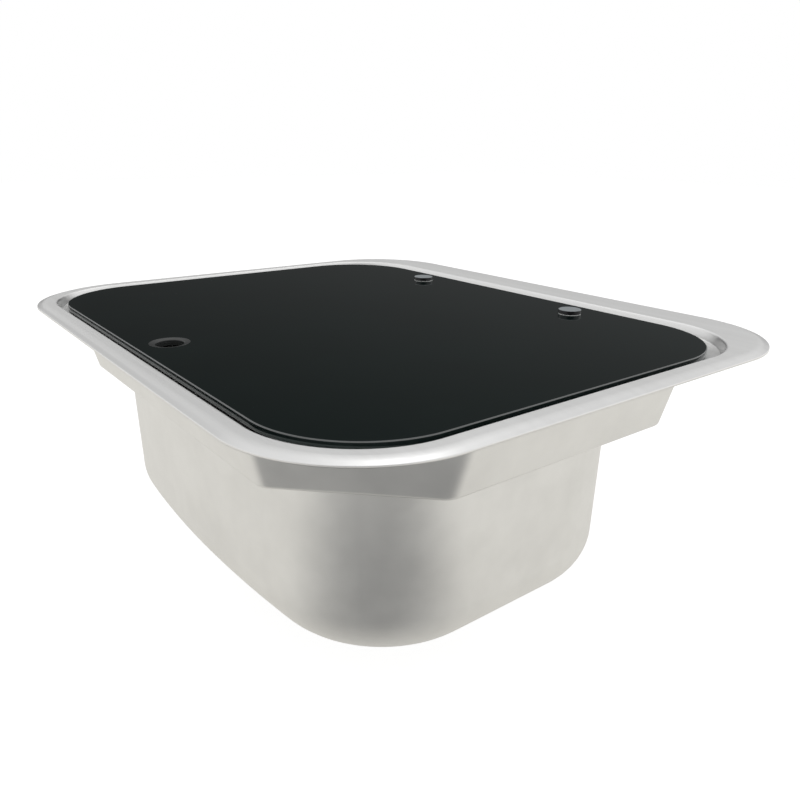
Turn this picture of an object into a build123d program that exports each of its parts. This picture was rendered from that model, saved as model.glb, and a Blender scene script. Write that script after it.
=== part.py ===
from build123d import *
import os
from math import atan, cos, degrees, hypot, radians, sqrt

# Drop-in caravan sink with a hinged glass lid. Millimetres, +Z up, +X to the right seen from the front,
# -Y to the front. Z = 0 is the worktop's top surface, and X = Y = 0 is the middle of the rim.

# Pressed sheet: rim
sheet = 1.0
rim_width = 420.0
rim_depth = 354.0
rim_corner_radius = 70.5
rim_height = 2.4  # flat top of the rim above the worktop
lip_slope_width = 5.3  # outer band of the rim that slopes down to the worktop
lip_edge_height = 1.0
lip_crease_bend = 12.0
lip_toe_height = 0.2  # inside height of the lip's lower edge
side_band = 13.6  # rim between outer edge and lid recess
front_band = 12.7
back_band = 33.4
rim_edge_bend = 2.0  # bend radii are those of the face seen from above

# Pressed sheet: recess for the lid
recess_drop = 5.7
recess_run = 2.2  # how far the recess wall leans inwards over its height
recess_corner_radius = 57.0
ledge_foot_bend = 1.0
ledge_edge_bend = 1.8

# Pressed sheet: flat ledge between recess and pan
side_ledge = 3.3
front_ledge = 5.4
back_ledge = 3.5

# Pressed sheet: eight-sided pan
pan_depth = 41.6  # flat top of the rim to the underside of the pan
pan_corner_leg = 61.5  # at the pan's floor
pan_corner_top_leg = 72.0  # at the ledge
pan_corner_bend = 9.0
pan_side_draft = 0.312  # lean of the walls, per unit of height
pan_front_draft = 0.25
pan_back_draft = 0.22
pan_foot_bend = 2.5

# Pressed sheet: floor of the pan, from the pan's walls to the bowl
side_step = 15.6
front_step = 11.5
back_step = 35.25

# Pressed sheet: bowl
sink_depth = 147.0  # flat top of the rim to the underside of the bowl
bowl_corner_radius = 74.8
bowl_bow = 13.9  # outward bow of the front and back walls
bowl_draft = 0.023
bowl_edge_bend = 4.0
bowl_foot_bend = 29.7

# Glass lid
lid_side_gap = 5.2  # recess edge to glass
lid_front_gap = 5.5
lid_back_gap = 10.6
lid_corner_radius = 58.0
lid_thickness = 4.0
lid_sunk = 0.7  # glass below the flat top of the rim
lid_arris = 0.5
finger_hole_diameter = 16.0
finger_hole_x = -4.6
finger_hole_inset = 19.9  # hole centre from the front edge of the glass
finger_bevel_width = 3.4
finger_bevel_depth = 0.6

# Lid buffers
buffer_diameter = 10.0
buffer_inset = 9.0  # buffer centre from the glass edge, across the corner
buffer_gap = 0.1

# Hinges
hinge_spacing = 156.8
cap_inset = 23.4  # cap centre from the back edge of the glass
cap_diameter = 15.2
cap_height = 2.8
cap_edge = 0.35
stud_diameter = 5.0
stud_end = 1.0  # stud beyond its nut
top_washer_thickness = 0.3
sleeve_wall = 1.3
pad_diameter = 15.0
pad_thickness = 1.0
leaf_thickness = 2.0
leaf_nose_radius = 10.0
hinge_width = 24.0
pivot_behind_glass = 1.95
pivot_below_glass = 1.9
knuckle_radius = 2.3
leaf_knuckle_width = 12.0
knuckle_side_gap = 0.3
leaf_heel_gap = 1.1  # end of the flat leaf to the fixed knuckles
pin_diameter = 2.5
pin_end = 0.5
bracket_thickness = 1.5
bracket_top = -3.6
bracket_bottom = -30.0
bracket_corner_radius = 4.0

# Nuts and screws
cap_nut_flats = 8.0
cap_nut_height = 4.0
cap_nut_flange_diameter = 11.0
cap_nut_flange_height = 1.0
bracket_screw_diameter = 4.0
bracket_screw_spacing = 14.0
bracket_screw_level = -19.0
bracket_screw_end = 0.8  # screw beyond its nut
bracket_head_diameter = 8.0
bracket_head_height = 2.4
screw_slot_length = 4.6
screw_slot_width = 1.0
screw_slot_depth = 1.3
bracket_washer_diameter = 9.0
bracket_washer_thickness = 0.8
bracket_nut_flats = 7.0
bracket_nut_height = 3.2

# Seal under the rim
rim_seal_inset = 5.6
rim_seal_width = 5.0

# Drain
drain_hole_diameter = 48.0
strainer_flange_diameter = 66.0
strainer_cup_diameter = 43.0  # inside
strainer_cup_depth = 10.0
strainer_sheet = 1.0
strainer_cup_bend = 2.0
strainer_holes = 10
strainer_hole_diameter = 5.0
strainer_hole_circle = 27.0
flange_seal_thickness = 1.0
flange_seal_width = 6.0
waste_seal_thickness = 2.0
waste_flange_diameter = 68.0
waste_flange_thickness = 3.0
waste_wall = 3.0
waste_well_diameter = 50.0  # inside
waste_well_depth = 11.5  # below the waste flange's top
waste_cone_depth = 6.0
waste_neck_diameter = 32.0
waste_neck_length = 10.0
waste_bore_diameter = 22.0
boss_diameter = 12.0
boss_gap = 0.4  # boss to the underside of the strainer
boss_length = 12.0
boss_rib_thickness = 2.5
boss_ribs = 3
strainer_screw_diameter = 6.0
strainer_head_diameter = 12.0
strainer_head_height = 2.6
strainer_screw_length = 13.0
strainer_slot_length = 7.0
strainer_slot_width = 1.5
tail_washer_thickness = 1.5
tail_diameter = 25.0
tail_neck_diameter = 24.4  # inside the nut's lip
tail_bore_diameter = 20.0
tail_flange_thickness = 2.5
tail_plain_length = 12.0
tail_barb_pitch = 4.0
tail_barb_depth = 1.0
tail_barb_land = 1.2  # groove above each barb
tail_barbs = 2
tail_nut_diameter = 41.0
tail_nut_lip = 2.5
tail_nut_top_overlap = 8.0  # nut's grip on the neck
tail_nut_grips = 12
tail_nut_grip_radius = 2.0

# Plug
plug_flange_diameter = 52.0
plug_flange_thickness = 1.6
plug_body_depth = 4.5
plug_stem_diameter = 5.0
plug_rivet_diameter = 9.0
plug_rivet_height = 0.9
plug_foot_diameter = 17.0
plug_waist_diameter = 8.0
plug_grip_diameter = 15.0
plug_knob_height = 13.0
plug_knob_edge = 0.9
plug_gap = 0.1

# Clearances
shaft_clearance = 0.05  # radial, where a shaft turns or a thread is left plain
fixed_clearance = 0.02  # radial, where a pin sits tight
bolt_clearance = 0.15  # radial, screw in its hole
sleeve_clearance = 0.1
plug_clearance = 0.3
collar_clearance = 0.25

# Worked out from the sizes above
recess_width = rim_width - 2 * side_band
recess_depth = rim_depth - front_band - back_band
recess_y = (front_band - back_band) / 2
ledge_level = rim_height - recess_drop
pan_level = rim_height - pan_depth + sheet
bowl_level = rim_height - sink_depth + sheet
recess_angle = degrees(atan(recess_run / recess_drop))
bowl_angle = degrees(atan(bowl_draft))
pan_wall_height = ledge_level - pan_level
pan_top_width = recess_width - 2 * (recess_run + side_ledge)  # inside, at the ledge
pan_top_front = recess_y - recess_depth / 2 + recess_run + front_ledge
pan_top_back = recess_y + recess_depth / 2 - recess_run - back_ledge
pan_width = pan_top_width - 2 * pan_side_draft * pan_wall_height  # inside, at the pan's floor
pan_front = pan_top_front + pan_front_draft * pan_wall_height
pan_back = pan_top_back - pan_back_draft * pan_wall_height
bowl_width = pan_width - 2 * side_step  # inside, at the pan's floor
bowl_front = pan_front + front_step
bowl_back = pan_back - back_step
bowl_y = (bowl_front + bowl_back) / 2
lid_width = recess_width - 2 * lid_side_gap
lid_depth = recess_depth - lid_front_gap - lid_back_gap
lid_y = recess_y + (lid_front_gap - lid_back_gap) / 2
lid_front = lid_y - lid_depth / 2
lid_back = lid_y + lid_depth / 2
lid_top = rim_height - lid_sunk
lid_bottom = lid_top - lid_thickness
finger_hole_y = lid_front + finger_hole_inset
cap_y = lid_back - cap_inset
pivot_y = lid_back + pivot_behind_glass
pivot_z = lid_bottom - pivot_below_glass
sleeve_radius = stud_diameter / 2 + bolt_clearance + sleeve_wall
lid_hole_radius = sleeve_radius + sleeve_clearance
leaf_top = lid_bottom - pad_thickness
leaf_bottom = leaf_top - leaf_thickness
drain_y = bowl_y
strainer_seat = bowl_level + flange_seal_thickness
strainer_top = strainer_seat + strainer_sheet
strainer_floor = strainer_top - strainer_cup_depth
waste_top = bowl_level - sheet - waste_seal_thickness
waste_well_floor = waste_top - waste_well_depth
waste_neck_top = waste_well_floor - waste_cone_depth
waste_neck_end = waste_neck_top - waste_neck_length
tail_top = waste_neck_end - tail_washer_thickness
tail_flange_end = tail_top - tail_flange_thickness
tail_plain_top = tail_flange_end - tail_nut_lip
tail_plain_end = tail_plain_top - tail_plain_length
tail_end = tail_plain_end - tail_barbs * tail_barb_pitch
drain_axis = Axis((0, drain_y, 0), (0, 0, 1))
drain_section = Plane.XZ.offset(-drain_y)
hinge_sides = {"left": -hinge_spacing / 2, "right": hinge_spacing / 2}

os.makedirs("parts", exist_ok=True)


def save(piece, name):
    piece.part.label = name
    export_step(piece.part, f"parts/{name}.step")


def prism(outline, bottom, top, mode=Mode.ADD):
    """Straight solid over an outline drawn at height bottom."""
    extrude(outline.sketch, amount=top - bottom, mode=mode)


def disc(radius, bottom, top, centre=(0, 0), mode=Mode.ADD):
    with BuildSketch(Plane.XY.offset(bottom)) as outline:
        with Locations(centre):
            Circle(radius)
    prism(outline, bottom, top, mode)


def hexagon(flats, bottom, top, centre=(0, 0)):
    with BuildSketch(Plane.XY.offset(bottom)) as outline:
        with Locations(centre):
            RegularPolygon(flats / 2, 6, major_radius=False)
    prism(outline, bottom, top)


def turned(points, section, axis):
    """Solid turned from a closed outline of (radius, height) points."""
    with BuildSketch(section) as outline:
        with BuildLine():
            Polyline(*points, close=True)
        make_face()
    revolve(outline.sketch, axis=axis)


def flat_face(build, level):
    """Largest horizontal face at one height."""
    flat = build.faces().filter_by(Axis.Z).filter_by_position(Axis.Z, level - 0.01, level + 0.01)
    return flat.sort_by(SortBy.AREA)[-1]


def outer_loop(build, level):
    return flat_face(build, level).outer_wire().edges()


def inner_loop(build, level):
    return flat_face(build, level).inner_wires()[0].edges()


def pan_wall_y(level):
    """Inner face of the pan's back wall at one height."""
    return pan_back + pan_back_draft * (level - pan_level)


# --- sink shell -------------------------------------------------------------


def wall_growth(skin, draft):
    """Sideways distance between the two faces of a leaning wall, each taken at its own foot."""
    return skin * (sqrt(1 + draft**2) - draft)


def pan_outline(skin, level, width, front, back, leg):
    """Eight-sided outline of the pan at one height: its inner face for skin = 0."""
    side_growth = wall_growth(skin, pan_side_draft)
    front -= wall_growth(skin, pan_front_draft)
    back += wall_growth(skin, pan_back_draft)
    with BuildSketch(Plane.XY.offset(level - skin)) as outline:
        with Locations((0, (front + back) / 2)):
            Rectangle(width + 2 * side_growth, back - front)
        chamfer(outline.vertices(), leg + side_growth * (2 - sqrt(2)))
        fillet(outline.vertices(), pan_corner_bend + skin)
    return outline.sketch


def tub(build, skin):
    """Recess, pan and bowl as one block: the hollow for skin = 0, the outside for skin = sheet."""
    ledge = ledge_level - skin
    floor = pan_level - skin
    bottom = bowl_level - skin

    grow = skin / cos(radians(recess_angle))
    with BuildSketch(Plane.XY.offset(rim_height)) as recess:
        with Locations((0, recess_y)):
            RectangleRounded(recess_width + 2 * grow, recess_depth + 2 * grow, recess_corner_radius + grow)
    extrude(recess.sketch, amount=ledge - rim_height, taper=recess_angle)

    pan_foot = pan_outline(skin, pan_level, pan_width, pan_front, pan_back, pan_corner_leg)
    pan_top = pan_outline(skin, ledge_level, pan_top_width, pan_top_front, pan_top_back, pan_corner_top_leg)
    loft([pan_foot, pan_top], ruled=True)

    side = bowl_width / 2
    with BuildSketch(Plane.XY.offset(floor)) as bowl:
        with BuildLine():
            ThreePointArc((-side, bowl_front + bowl_bow), (0, bowl_front), (side, bowl_front + bowl_bow))
            ThreePointArc((-side, bowl_back - bowl_bow), (0, bowl_back), (side, bowl_back - bowl_bow))
            Line((-side, bowl_front + bowl_bow), (-side, bowl_back - bowl_bow))
            Line((side, bowl_front + bowl_bow), (side, bowl_back - bowl_bow))
        make_face()
        fillet(bowl.vertices(), bowl_corner_radius)
        if skin:
            offset(amount=wall_growth(skin, bowl_draft))
    extrude(bowl.sketch, amount=bottom - floor, taper=bowl_angle)

    fillet(outer_loop(build, bottom), bowl_foot_bend + skin)
    fillet(outer_loop(build, floor), pan_foot_bend + skin)
    fillet(inner_loop(build, floor), bowl_edge_bend - skin)
    fillet(outer_loop(build, ledge), ledge_foot_bend + skin)
    fillet(inner_loop(build, ledge), ledge_edge_bend - skin)


def wall_plane(x, out):
    """Plane of the pan's back wall at the bracket screws, facing into the pan, set back by out."""
    origin = (x, pan_wall_y(bracket_screw_level), bracket_screw_level)
    return Plane(origin, (1, 0, 0), (0, -1, pan_back_draft)).offset(-out)


def wall_circles(x, radius, out):
    """The two screw places of one hinge bracket, as circles."""
    with BuildSketch(wall_plane(x, out)) as circles:
        with GridLocations(bracket_screw_spacing, 1, 2, 1):
            Circle(radius)
    return circles.sketch


with BuildPart() as hollow:
    tub(hollow, 0)
    with BuildSketch(Plane.XY.offset(rim_height)) as mouth:
        with Locations((0, recess_y)):
            RectangleRounded(recess_width, recess_depth, recess_corner_radius)
    prism(mouth, rim_height, rim_height + sheet)

with BuildPart() as rim_underside:
    with BuildSketch() as lip_inside:
        RectangleRounded(rim_width - 2 * sheet, rim_depth - 2 * sheet, rim_corner_radius - sheet)
    prism(lip_inside, 0, rim_height - sheet)
    underside_roof = rim_underside.faces().sort_by(Axis.Z)[-1]
    chamfer(
        underside_roof.edges(),
        length=lip_slope_width - sheet,
        length2=rim_height - sheet - lip_toe_height,
        reference=underside_roof,
    )

with BuildPart() as sink_shell:
    with BuildSketch() as rim_outline:
        RectangleRounded(rim_width, rim_depth, rim_corner_radius)
    prism(rim_outline, 0, rim_height)
    rim_top = sink_shell.faces().sort_by(Axis.Z)[-1]
    chamfer(
        rim_top.edges(),
        length=lip_slope_width,
        length2=rim_height - lip_edge_height,
        reference=rim_top,
    )
    fillet(outer_loop(sink_shell, rim_height), lip_crease_bend)
    add(rim_underside.part, mode=Mode.SUBTRACT)
    tub(sink_shell, sheet)
    fillet(inner_loop(sink_shell, rim_height - sheet), rim_edge_bend - sheet)
    add(hollow.part, mode=Mode.SUBTRACT)
    fillet(inner_loop(sink_shell, rim_height), rim_edge_bend)
    disc(drain_hole_diameter / 2, bowl_level - 2 * sheet, bowl_level + sheet, (0, drain_y), Mode.SUBTRACT)
    for hinge_x in hinge_sides.values():
        wall_holes = wall_circles(hinge_x, bracket_screw_diameter / 2 + bolt_clearance, 2 * sheet)
        extrude(wall_holes, amount=3 * sheet, mode=Mode.SUBTRACT)
save(sink_shell, "sink_shell")

# --- foam seal under the rim -------------------------------------------------

with BuildPart() as rim_seal:
    with BuildSketch() as seal_outline:
        for inset, mode in ((rim_seal_inset, Mode.ADD), (rim_seal_inset + rim_seal_width, Mode.SUBTRACT)):
            RectangleRounded(
                rim_width - 2 * inset, rim_depth - 2 * inset, rim_corner_radius - inset, mode=mode
            )
    prism(seal_outline, 0, rim_height - sheet)
save(rim_seal, "rim_seal")

# --- glass lid ----------------------------------------------------------------

with BuildPart() as glass_lid:
    with BuildSketch(Plane.XY.offset(lid_bottom)) as glass_outline:
        with Locations((0, lid_y)):
            RectangleRounded(lid_width, lid_depth, lid_corner_radius)
    prism(glass_outline, lid_bottom, lid_top)
    chamfer(glass_lid.faces().sort_by(Axis.Z)[-1].edges(), lid_arris)
    chamfer(glass_lid.faces().sort_by(Axis.Z)[0].edges(), lid_arris)
    finger_hole = (finger_hole_x, finger_hole_y)
    disc(finger_hole_diameter / 2, lid_bottom, lid_top, finger_hole, Mode.SUBTRACT)
    chamfer(
        inner_loop(glass_lid, lid_top),
        length=finger_bevel_width,
        length2=finger_bevel_depth,
        reference=flat_face(glass_lid, lid_top),
    )
    for hinge_x in hinge_sides.values():
        disc(lid_hole_radius, lid_bottom, lid_top, (hinge_x, cap_y), Mode.SUBTRACT)
save(glass_lid, "glass_lid")

# --- rubber buffers on the corners of the ledge ---------------------------------

with BuildPart() as lid_buffers:
    across = (lid_corner_radius - buffer_inset) / sqrt(2)
    buffer_x = lid_width / 2 - lid_corner_radius + across
    buffer_y = lid_depth / 2 - lid_corner_radius + across
    with BuildSketch(Plane.XY.offset(ledge_level)) as buffers:
        with Locations((0, lid_y)):
            with GridLocations(2 * buffer_x, 2 * buffer_y, 2, 2):
                Circle(buffer_diameter / 2)
    prism(buffers, ledge_level, lid_bottom - buffer_gap)
save(lid_buffers, "lid_buffers")

# --- hinges: parts that turn with the lid -----------------------------------------


def make_cap(x):
    """Round cap with its stud, which passes through the glass and the leaf."""
    seat = lid_top + top_washer_thickness
    end = leaf_bottom - cap_nut_flange_height - cap_nut_height - stud_end
    with BuildPart() as cap:
        disc(cap_diameter / 2, seat, seat + cap_height, (x, cap_y))
        chamfer(cap.faces().sort_by(Axis.Z)[-1].edges(), cap_edge)
        disc(stud_diameter / 2, end, seat, (x, cap_y))
    return cap


def make_ring(x, outer_radius, bottom, top):
    """Plain ring round the stud."""
    with BuildPart() as ring:
        disc(outer_radius, bottom, top, (x, cap_y))
        disc(stud_diameter / 2 + bolt_clearance, bottom, top, (x, cap_y), Mode.SUBTRACT)
    return ring


def side_section(x):
    """Plane square to the hinge pin, with Y across and Z up."""
    return Plane((x, 0, 0), (0, 1, 0), (1, 0, 0))


def knuckle(x, width, radius, mode=Mode.ADD):
    """Cylinder on the pivot axis, width wide, centred on x."""
    with BuildSketch(side_section(x - width / 2)) as circle:
        with Locations((pivot_y, pivot_z)):
            Circle(radius)
    extrude(circle.sketch, amount=width, mode=mode)


def make_leaf(x):
    """Flat leaf under the glass, with the middle knuckle at its back end."""
    heel_y = pivot_y - knuckle_radius - leaf_heel_gap
    front_y = cap_y - leaf_nose_radius
    with BuildPart() as leaf:
        with BuildSketch(Plane.XY.offset(leaf_bottom)) as plate:
            with Locations((x, (front_y + heel_y) / 2)):
                Rectangle(hinge_width, heel_y - front_y)
            fillet(plate.vertices().group_by(Axis.Y)[0], leaf_nose_radius)
            with Locations((x, (heel_y + pivot_y) / 2)):
                Rectangle(leaf_knuckle_width, pivot_y - heel_y)
        prism(plate, leaf_bottom, leaf_top)
        knuckle(x, leaf_knuckle_width, knuckle_radius)
        knuckle(x, leaf_knuckle_width, pin_diameter / 2 + shaft_clearance, Mode.SUBTRACT)
        disc(stud_diameter / 2 + bolt_clearance, leaf_bottom, leaf_top, (x, cap_y), Mode.SUBTRACT)
    return leaf


def make_cap_nut(x):
    """Flanged nut on the stud, under the leaf."""
    flange_end = leaf_bottom - cap_nut_flange_height
    nut_end = flange_end - cap_nut_height
    with BuildPart() as nut:
        disc(cap_nut_flange_diameter / 2, flange_end, leaf_bottom, (x, cap_y))
        hexagon(cap_nut_flats, nut_end, flange_end, (x, cap_y))
        disc(stud_diameter / 2 + shaft_clearance, nut_end, leaf_bottom, (x, cap_y), Mode.SUBTRACT)
    return nut


# --- hinges: parts fixed to the pan -------------------------------------------------


def make_bracket(x):
    """Plate on the pan's back wall, with the two outer knuckles at its top."""
    slope = hypot(1, pan_back_draft)  # length along the wall for a height of 1
    plate_top = (bracket_top - bracket_screw_level) * slope
    plate_bottom = (bracket_bottom - bracket_screw_level) * slope
    notch_bottom = (pivot_z - knuckle_radius - 2 * knuckle_side_gap - bracket_screw_level) * slope
    notch_width = leaf_knuckle_width + 2 * knuckle_side_gap
    ear_width = (hinge_width - notch_width) / 2
    with BuildPart() as bracket:
        with BuildSketch(wall_plane(x, 0)) as plate:
            with Locations((0, (plate_top + plate_bottom) / 2)):
                Rectangle(hinge_width, plate_top - plate_bottom)
            fillet(plate.vertices().group_by(Axis.Z)[0], bracket_corner_radius)
            with Locations((0, (plate_top + notch_bottom) / 2)):
                Rectangle(notch_width, plate_top - notch_bottom, mode=Mode.SUBTRACT)
        extrude(plate.sketch, amount=bracket_thickness)
        for ear_x in (x - (notch_width + ear_width) / 2, x + (notch_width + ear_width) / 2):
            knuckle(ear_x, ear_width, knuckle_radius)
        knuckle(x, hinge_width, pin_diameter / 2 + fixed_clearance, Mode.SUBTRACT)
        screw_holes = wall_circles(x, bracket_screw_diameter / 2 + bolt_clearance, sheet)
        extrude(screw_holes, amount=sheet + 2 * bracket_thickness, mode=Mode.SUBTRACT)
    return bracket


def make_pin(x):
    with BuildPart() as pin:
        knuckle(x, hinge_width + 2 * pin_end, pin_diameter / 2)
    return pin


for side, hinge_x in hinge_sides.items():
    save(make_cap(hinge_x), f"hinge_{side}_cap")
    washer_top = lid_top + top_washer_thickness
    save(make_ring(hinge_x, cap_diameter / 2, lid_top, washer_top), f"hinge_{side}_top_washer")
    save(make_ring(hinge_x, sleeve_radius, lid_bottom, lid_top), f"hinge_{side}_sleeve")
    save(make_ring(hinge_x, pad_diameter / 2, leaf_top, lid_bottom), f"hinge_{side}_pad")
    save(make_leaf(hinge_x), f"hinge_{side}_leaf")
    save(make_cap_nut(hinge_x), f"hinge_{side}_nut")
    save(make_bracket(hinge_x), f"hinge_{side}_bracket")
    save(make_pin(hinge_x), f"hinge_{side}_pin")

# --- screws, washers and nuts of the brackets ------------------------------------------

washer_out = sheet + bracket_washer_thickness
nut_out = washer_out + bracket_nut_height

with BuildPart() as bracket_screws:
    for hinge_x in hinge_sides.values():
        shanks = wall_circles(hinge_x, bracket_screw_diameter / 2, nut_out + bracket_screw_end)
        extrude(shanks, amount=nut_out + bracket_screw_end + bracket_thickness)
        heads = wall_circles(hinge_x, bracket_head_diameter / 2, -bracket_thickness)
        extrude(heads, amount=bracket_head_height)
    head_tops = bracket_screws.faces().filter_by(GeomType.PLANE).group_by(Axis.Y)[0]
    fillet(head_tops.edges(), bracket_head_height / 2)
    for hinge_x in hinge_sides.values():
        head_top = bracket_thickness + bracket_head_height
        with BuildSketch(wall_plane(hinge_x, -head_top)) as slots:
            with GridLocations(bracket_screw_spacing, 1, 2, 1):
                Rectangle(screw_slot_length, screw_slot_width)
                Rectangle(screw_slot_width, screw_slot_length)
        extrude(slots.sketch, amount=-screw_slot_depth, mode=Mode.SUBTRACT)
save(bracket_screws, "bracket_screws")

with BuildPart() as bracket_washers:
    for hinge_x in hinge_sides.values():
        washer_discs = wall_circles(hinge_x, bracket_washer_diameter / 2, washer_out)
        extrude(washer_discs, amount=bracket_washer_thickness)
        washer_holes = wall_circles(hinge_x, bracket_screw_diameter / 2 + bolt_clearance, washer_out)
        extrude(washer_holes, amount=bracket_washer_thickness, mode=Mode.SUBTRACT)
save(bracket_washers, "bracket_washers")

with BuildPart() as bracket_nuts:
    for hinge_x in hinge_sides.values():
        with BuildSketch(wall_plane(hinge_x, nut_out)) as nut_outlines:
            with GridLocations(bracket_screw_spacing, 1, 2, 1):
                RegularPolygon(bracket_nut_flats / 2, 6, major_radius=False)
                Circle(bracket_screw_diameter / 2 + shaft_clearance, mode=Mode.SUBTRACT)
        extrude(nut_outlines.sketch, amount=bracket_nut_height)
save(bracket_nuts, "bracket_nuts")

# --- drain ---------------------------------------------------------------------------

with BuildPart() as flange_seal:
    seal_radius = drain_hole_diameter / 2 + flange_seal_width
    disc(seal_radius, bowl_level, strainer_seat, (0, drain_y))
    disc(drain_hole_diameter / 2, bowl_level, strainer_seat, (0, drain_y), Mode.SUBTRACT)
save(flange_seal, "flange_seal")

with BuildPart() as strainer:
    cup = strainer_cup_diameter / 2
    disc(strainer_flange_diameter / 2, strainer_seat, strainer_top, (0, drain_y))
    disc(cup + strainer_sheet, strainer_floor - strainer_sheet, strainer_seat, (0, drain_y))
    fillet(outer_loop(strainer, strainer_floor - strainer_sheet), strainer_cup_bend + strainer_sheet)
    disc(cup, strainer_floor, strainer_top, (0, drain_y), Mode.SUBTRACT)
    fillet(outer_loop(strainer, strainer_floor), strainer_cup_bend)
    fillet(flat_face(strainer, strainer_top).edges(), strainer_sheet / 2)
    with BuildSketch(Plane.XY.offset(strainer_floor - 2 * strainer_sheet)) as strainer_bores:
        with Locations((0, drain_y)):
            Circle(strainer_screw_diameter / 2 + bolt_clearance)
            with PolarLocations(strainer_hole_circle / 2, strainer_holes):
                Circle(strainer_hole_diameter / 2)
    extrude(strainer_bores.sketch, amount=3 * strainer_sheet, mode=Mode.SUBTRACT)
save(strainer, "strainer")

with BuildPart() as waste_seal:
    disc(waste_flange_diameter / 2, waste_top, bowl_level - sheet, (0, drain_y))
    disc(waste_well_diameter / 2, waste_top, bowl_level - sheet, (0, drain_y), Mode.SUBTRACT)
save(waste_seal, "waste_seal")

with BuildPart() as waste_body:
    well = waste_well_diameter / 2
    bore = waste_bore_diameter / 2
    neck = waste_neck_diameter / 2
    flange_bottom = waste_top - waste_flange_thickness
    outside = (
        (0, waste_top),
        (waste_flange_diameter / 2, waste_top),
        (waste_flange_diameter / 2, flange_bottom),
        (well + waste_wall, flange_bottom),
        (well + waste_wall, waste_well_floor),
        (neck, waste_neck_top),
        (neck, waste_neck_end),
        (0, waste_neck_end),
    )
    turned(outside, drain_section, drain_axis)
    inside = (
        (0, waste_top),
        (well, waste_top),
        (well, waste_well_floor),
        (bore, waste_neck_top),
        (bore, waste_neck_end),
        (0, waste_neck_end),
    )
    with BuildSketch(drain_section) as passage:
        with BuildLine():
            Polyline(*inside, close=True)
        make_face()
    revolve(passage.sketch, axis=drain_axis, mode=Mode.SUBTRACT)
    boss_top = strainer_floor - strainer_sheet - boss_gap
    boss_bottom = boss_top - boss_length
    rib_bottom = waste_well_floor
    disc(boss_diameter / 2, boss_bottom, boss_top, (0, drain_y))
    with BuildSketch(Plane.XY.offset(rib_bottom)) as ribs:
        with Locations((0, drain_y)):
            with PolarLocations(well / 2, boss_ribs):
                Rectangle(well + waste_wall, boss_rib_thickness)
    prism(ribs, rib_bottom, boss_top)
    disc(strainer_screw_diameter / 2 + shaft_clearance, boss_bottom, boss_top, (0, drain_y), Mode.SUBTRACT)
save(waste_body, "waste_body")

with BuildPart() as strainer_screw:
    head_top = strainer_floor + strainer_head_height
    disc(strainer_head_diameter / 2, strainer_floor, head_top, (0, drain_y))
    fillet(strainer_screw.faces().sort_by(Axis.Z)[-1].edges(), strainer_head_height / 2)
    disc(strainer_screw_diameter / 2, strainer_floor - strainer_screw_length, strainer_floor, (0, drain_y))
    with BuildSketch(Plane.XY.offset(head_top)) as slot:
        with Locations((0, drain_y)):
            Rectangle(strainer_slot_length, strainer_slot_width)
    extrude(slot.sketch, amount=-screw_slot_depth, mode=Mode.SUBTRACT)
save(strainer_screw, "strainer_screw")

with BuildPart() as tail_washer:
    disc(waste_neck_diameter / 2, tail_top, waste_neck_end, (0, drain_y))
    disc(waste_bore_diameter / 2, tail_top, waste_neck_end, (0, drain_y), Mode.SUBTRACT)
save(tail_washer, "tail_washer")

with BuildPart() as hose_tail:
    tail_outline = [
        (tail_bore_diameter / 2, tail_top),
        (waste_neck_diameter / 2, tail_top),
        (waste_neck_diameter / 2, tail_flange_end),
        (tail_neck_diameter / 2, tail_flange_end),
        (tail_neck_diameter / 2, tail_plain_top),
        (tail_diameter / 2, tail_plain_top),
        (tail_diameter / 2, tail_plain_end),
    ]
    barb_root = tail_diameter / 2 - tail_barb_depth
    for barb in range(tail_barbs):
        barb_top = tail_plain_end - barb * tail_barb_pitch
        tail_outline += [
            (barb_root, barb_top),
            (barb_root, barb_top - tail_barb_land),
            (tail_diameter / 2, barb_top - tail_barb_land),
        ]
    tail_outline += [(barb_root, tail_end), (tail_bore_diameter / 2, tail_end)]
    turned(tail_outline, drain_section, drain_axis)
save(hose_tail, "hose_tail")

with BuildPart() as tail_nut:
    nut_top = waste_neck_end + tail_nut_top_overlap
    nut_bottom = tail_plain_top
    disc(tail_nut_diameter / 2, nut_bottom, nut_top, (0, drain_y))
    collar = waste_neck_diameter / 2 + collar_clearance
    disc(collar, tail_flange_end, nut_top, (0, drain_y), Mode.SUBTRACT)
    disc(tail_diameter / 2 + collar_clearance, nut_bottom, tail_flange_end, (0, drain_y), Mode.SUBTRACT)
    with BuildSketch(Plane.XY.offset(nut_bottom)) as grips:
        with Locations((0, drain_y)):
            with PolarLocations(tail_nut_diameter / 2, tail_nut_grips):
                Circle(tail_nut_grip_radius)
    prism(grips, nut_bottom, nut_top, Mode.SUBTRACT)
save(tail_nut, "tail_nut")

# --- plug ------------------------------------------------------------------------------

plug_seat = strainer_top + plug_gap
plug_top = plug_seat + plug_flange_thickness
plug_bottom = plug_seat - plug_body_depth

with BuildPart() as plug_stopper:
    disc(plug_flange_diameter / 2, plug_seat, plug_top, (0, drain_y))
    fillet(plug_stopper.faces().sort_by(Axis.Z)[-1].edges(), plug_flange_thickness / 2)
    disc(strainer_cup_diameter / 2 - plug_clearance, plug_bottom, plug_seat, (0, drain_y))
    chamfer(plug_stopper.faces().sort_by(Axis.Z)[0].edges(), plug_clearance)
    disc(plug_stem_diameter / 2 + shaft_clearance, plug_bottom, plug_top, (0, drain_y), Mode.SUBTRACT)
save(plug_stopper, "plug_stopper")

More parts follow.
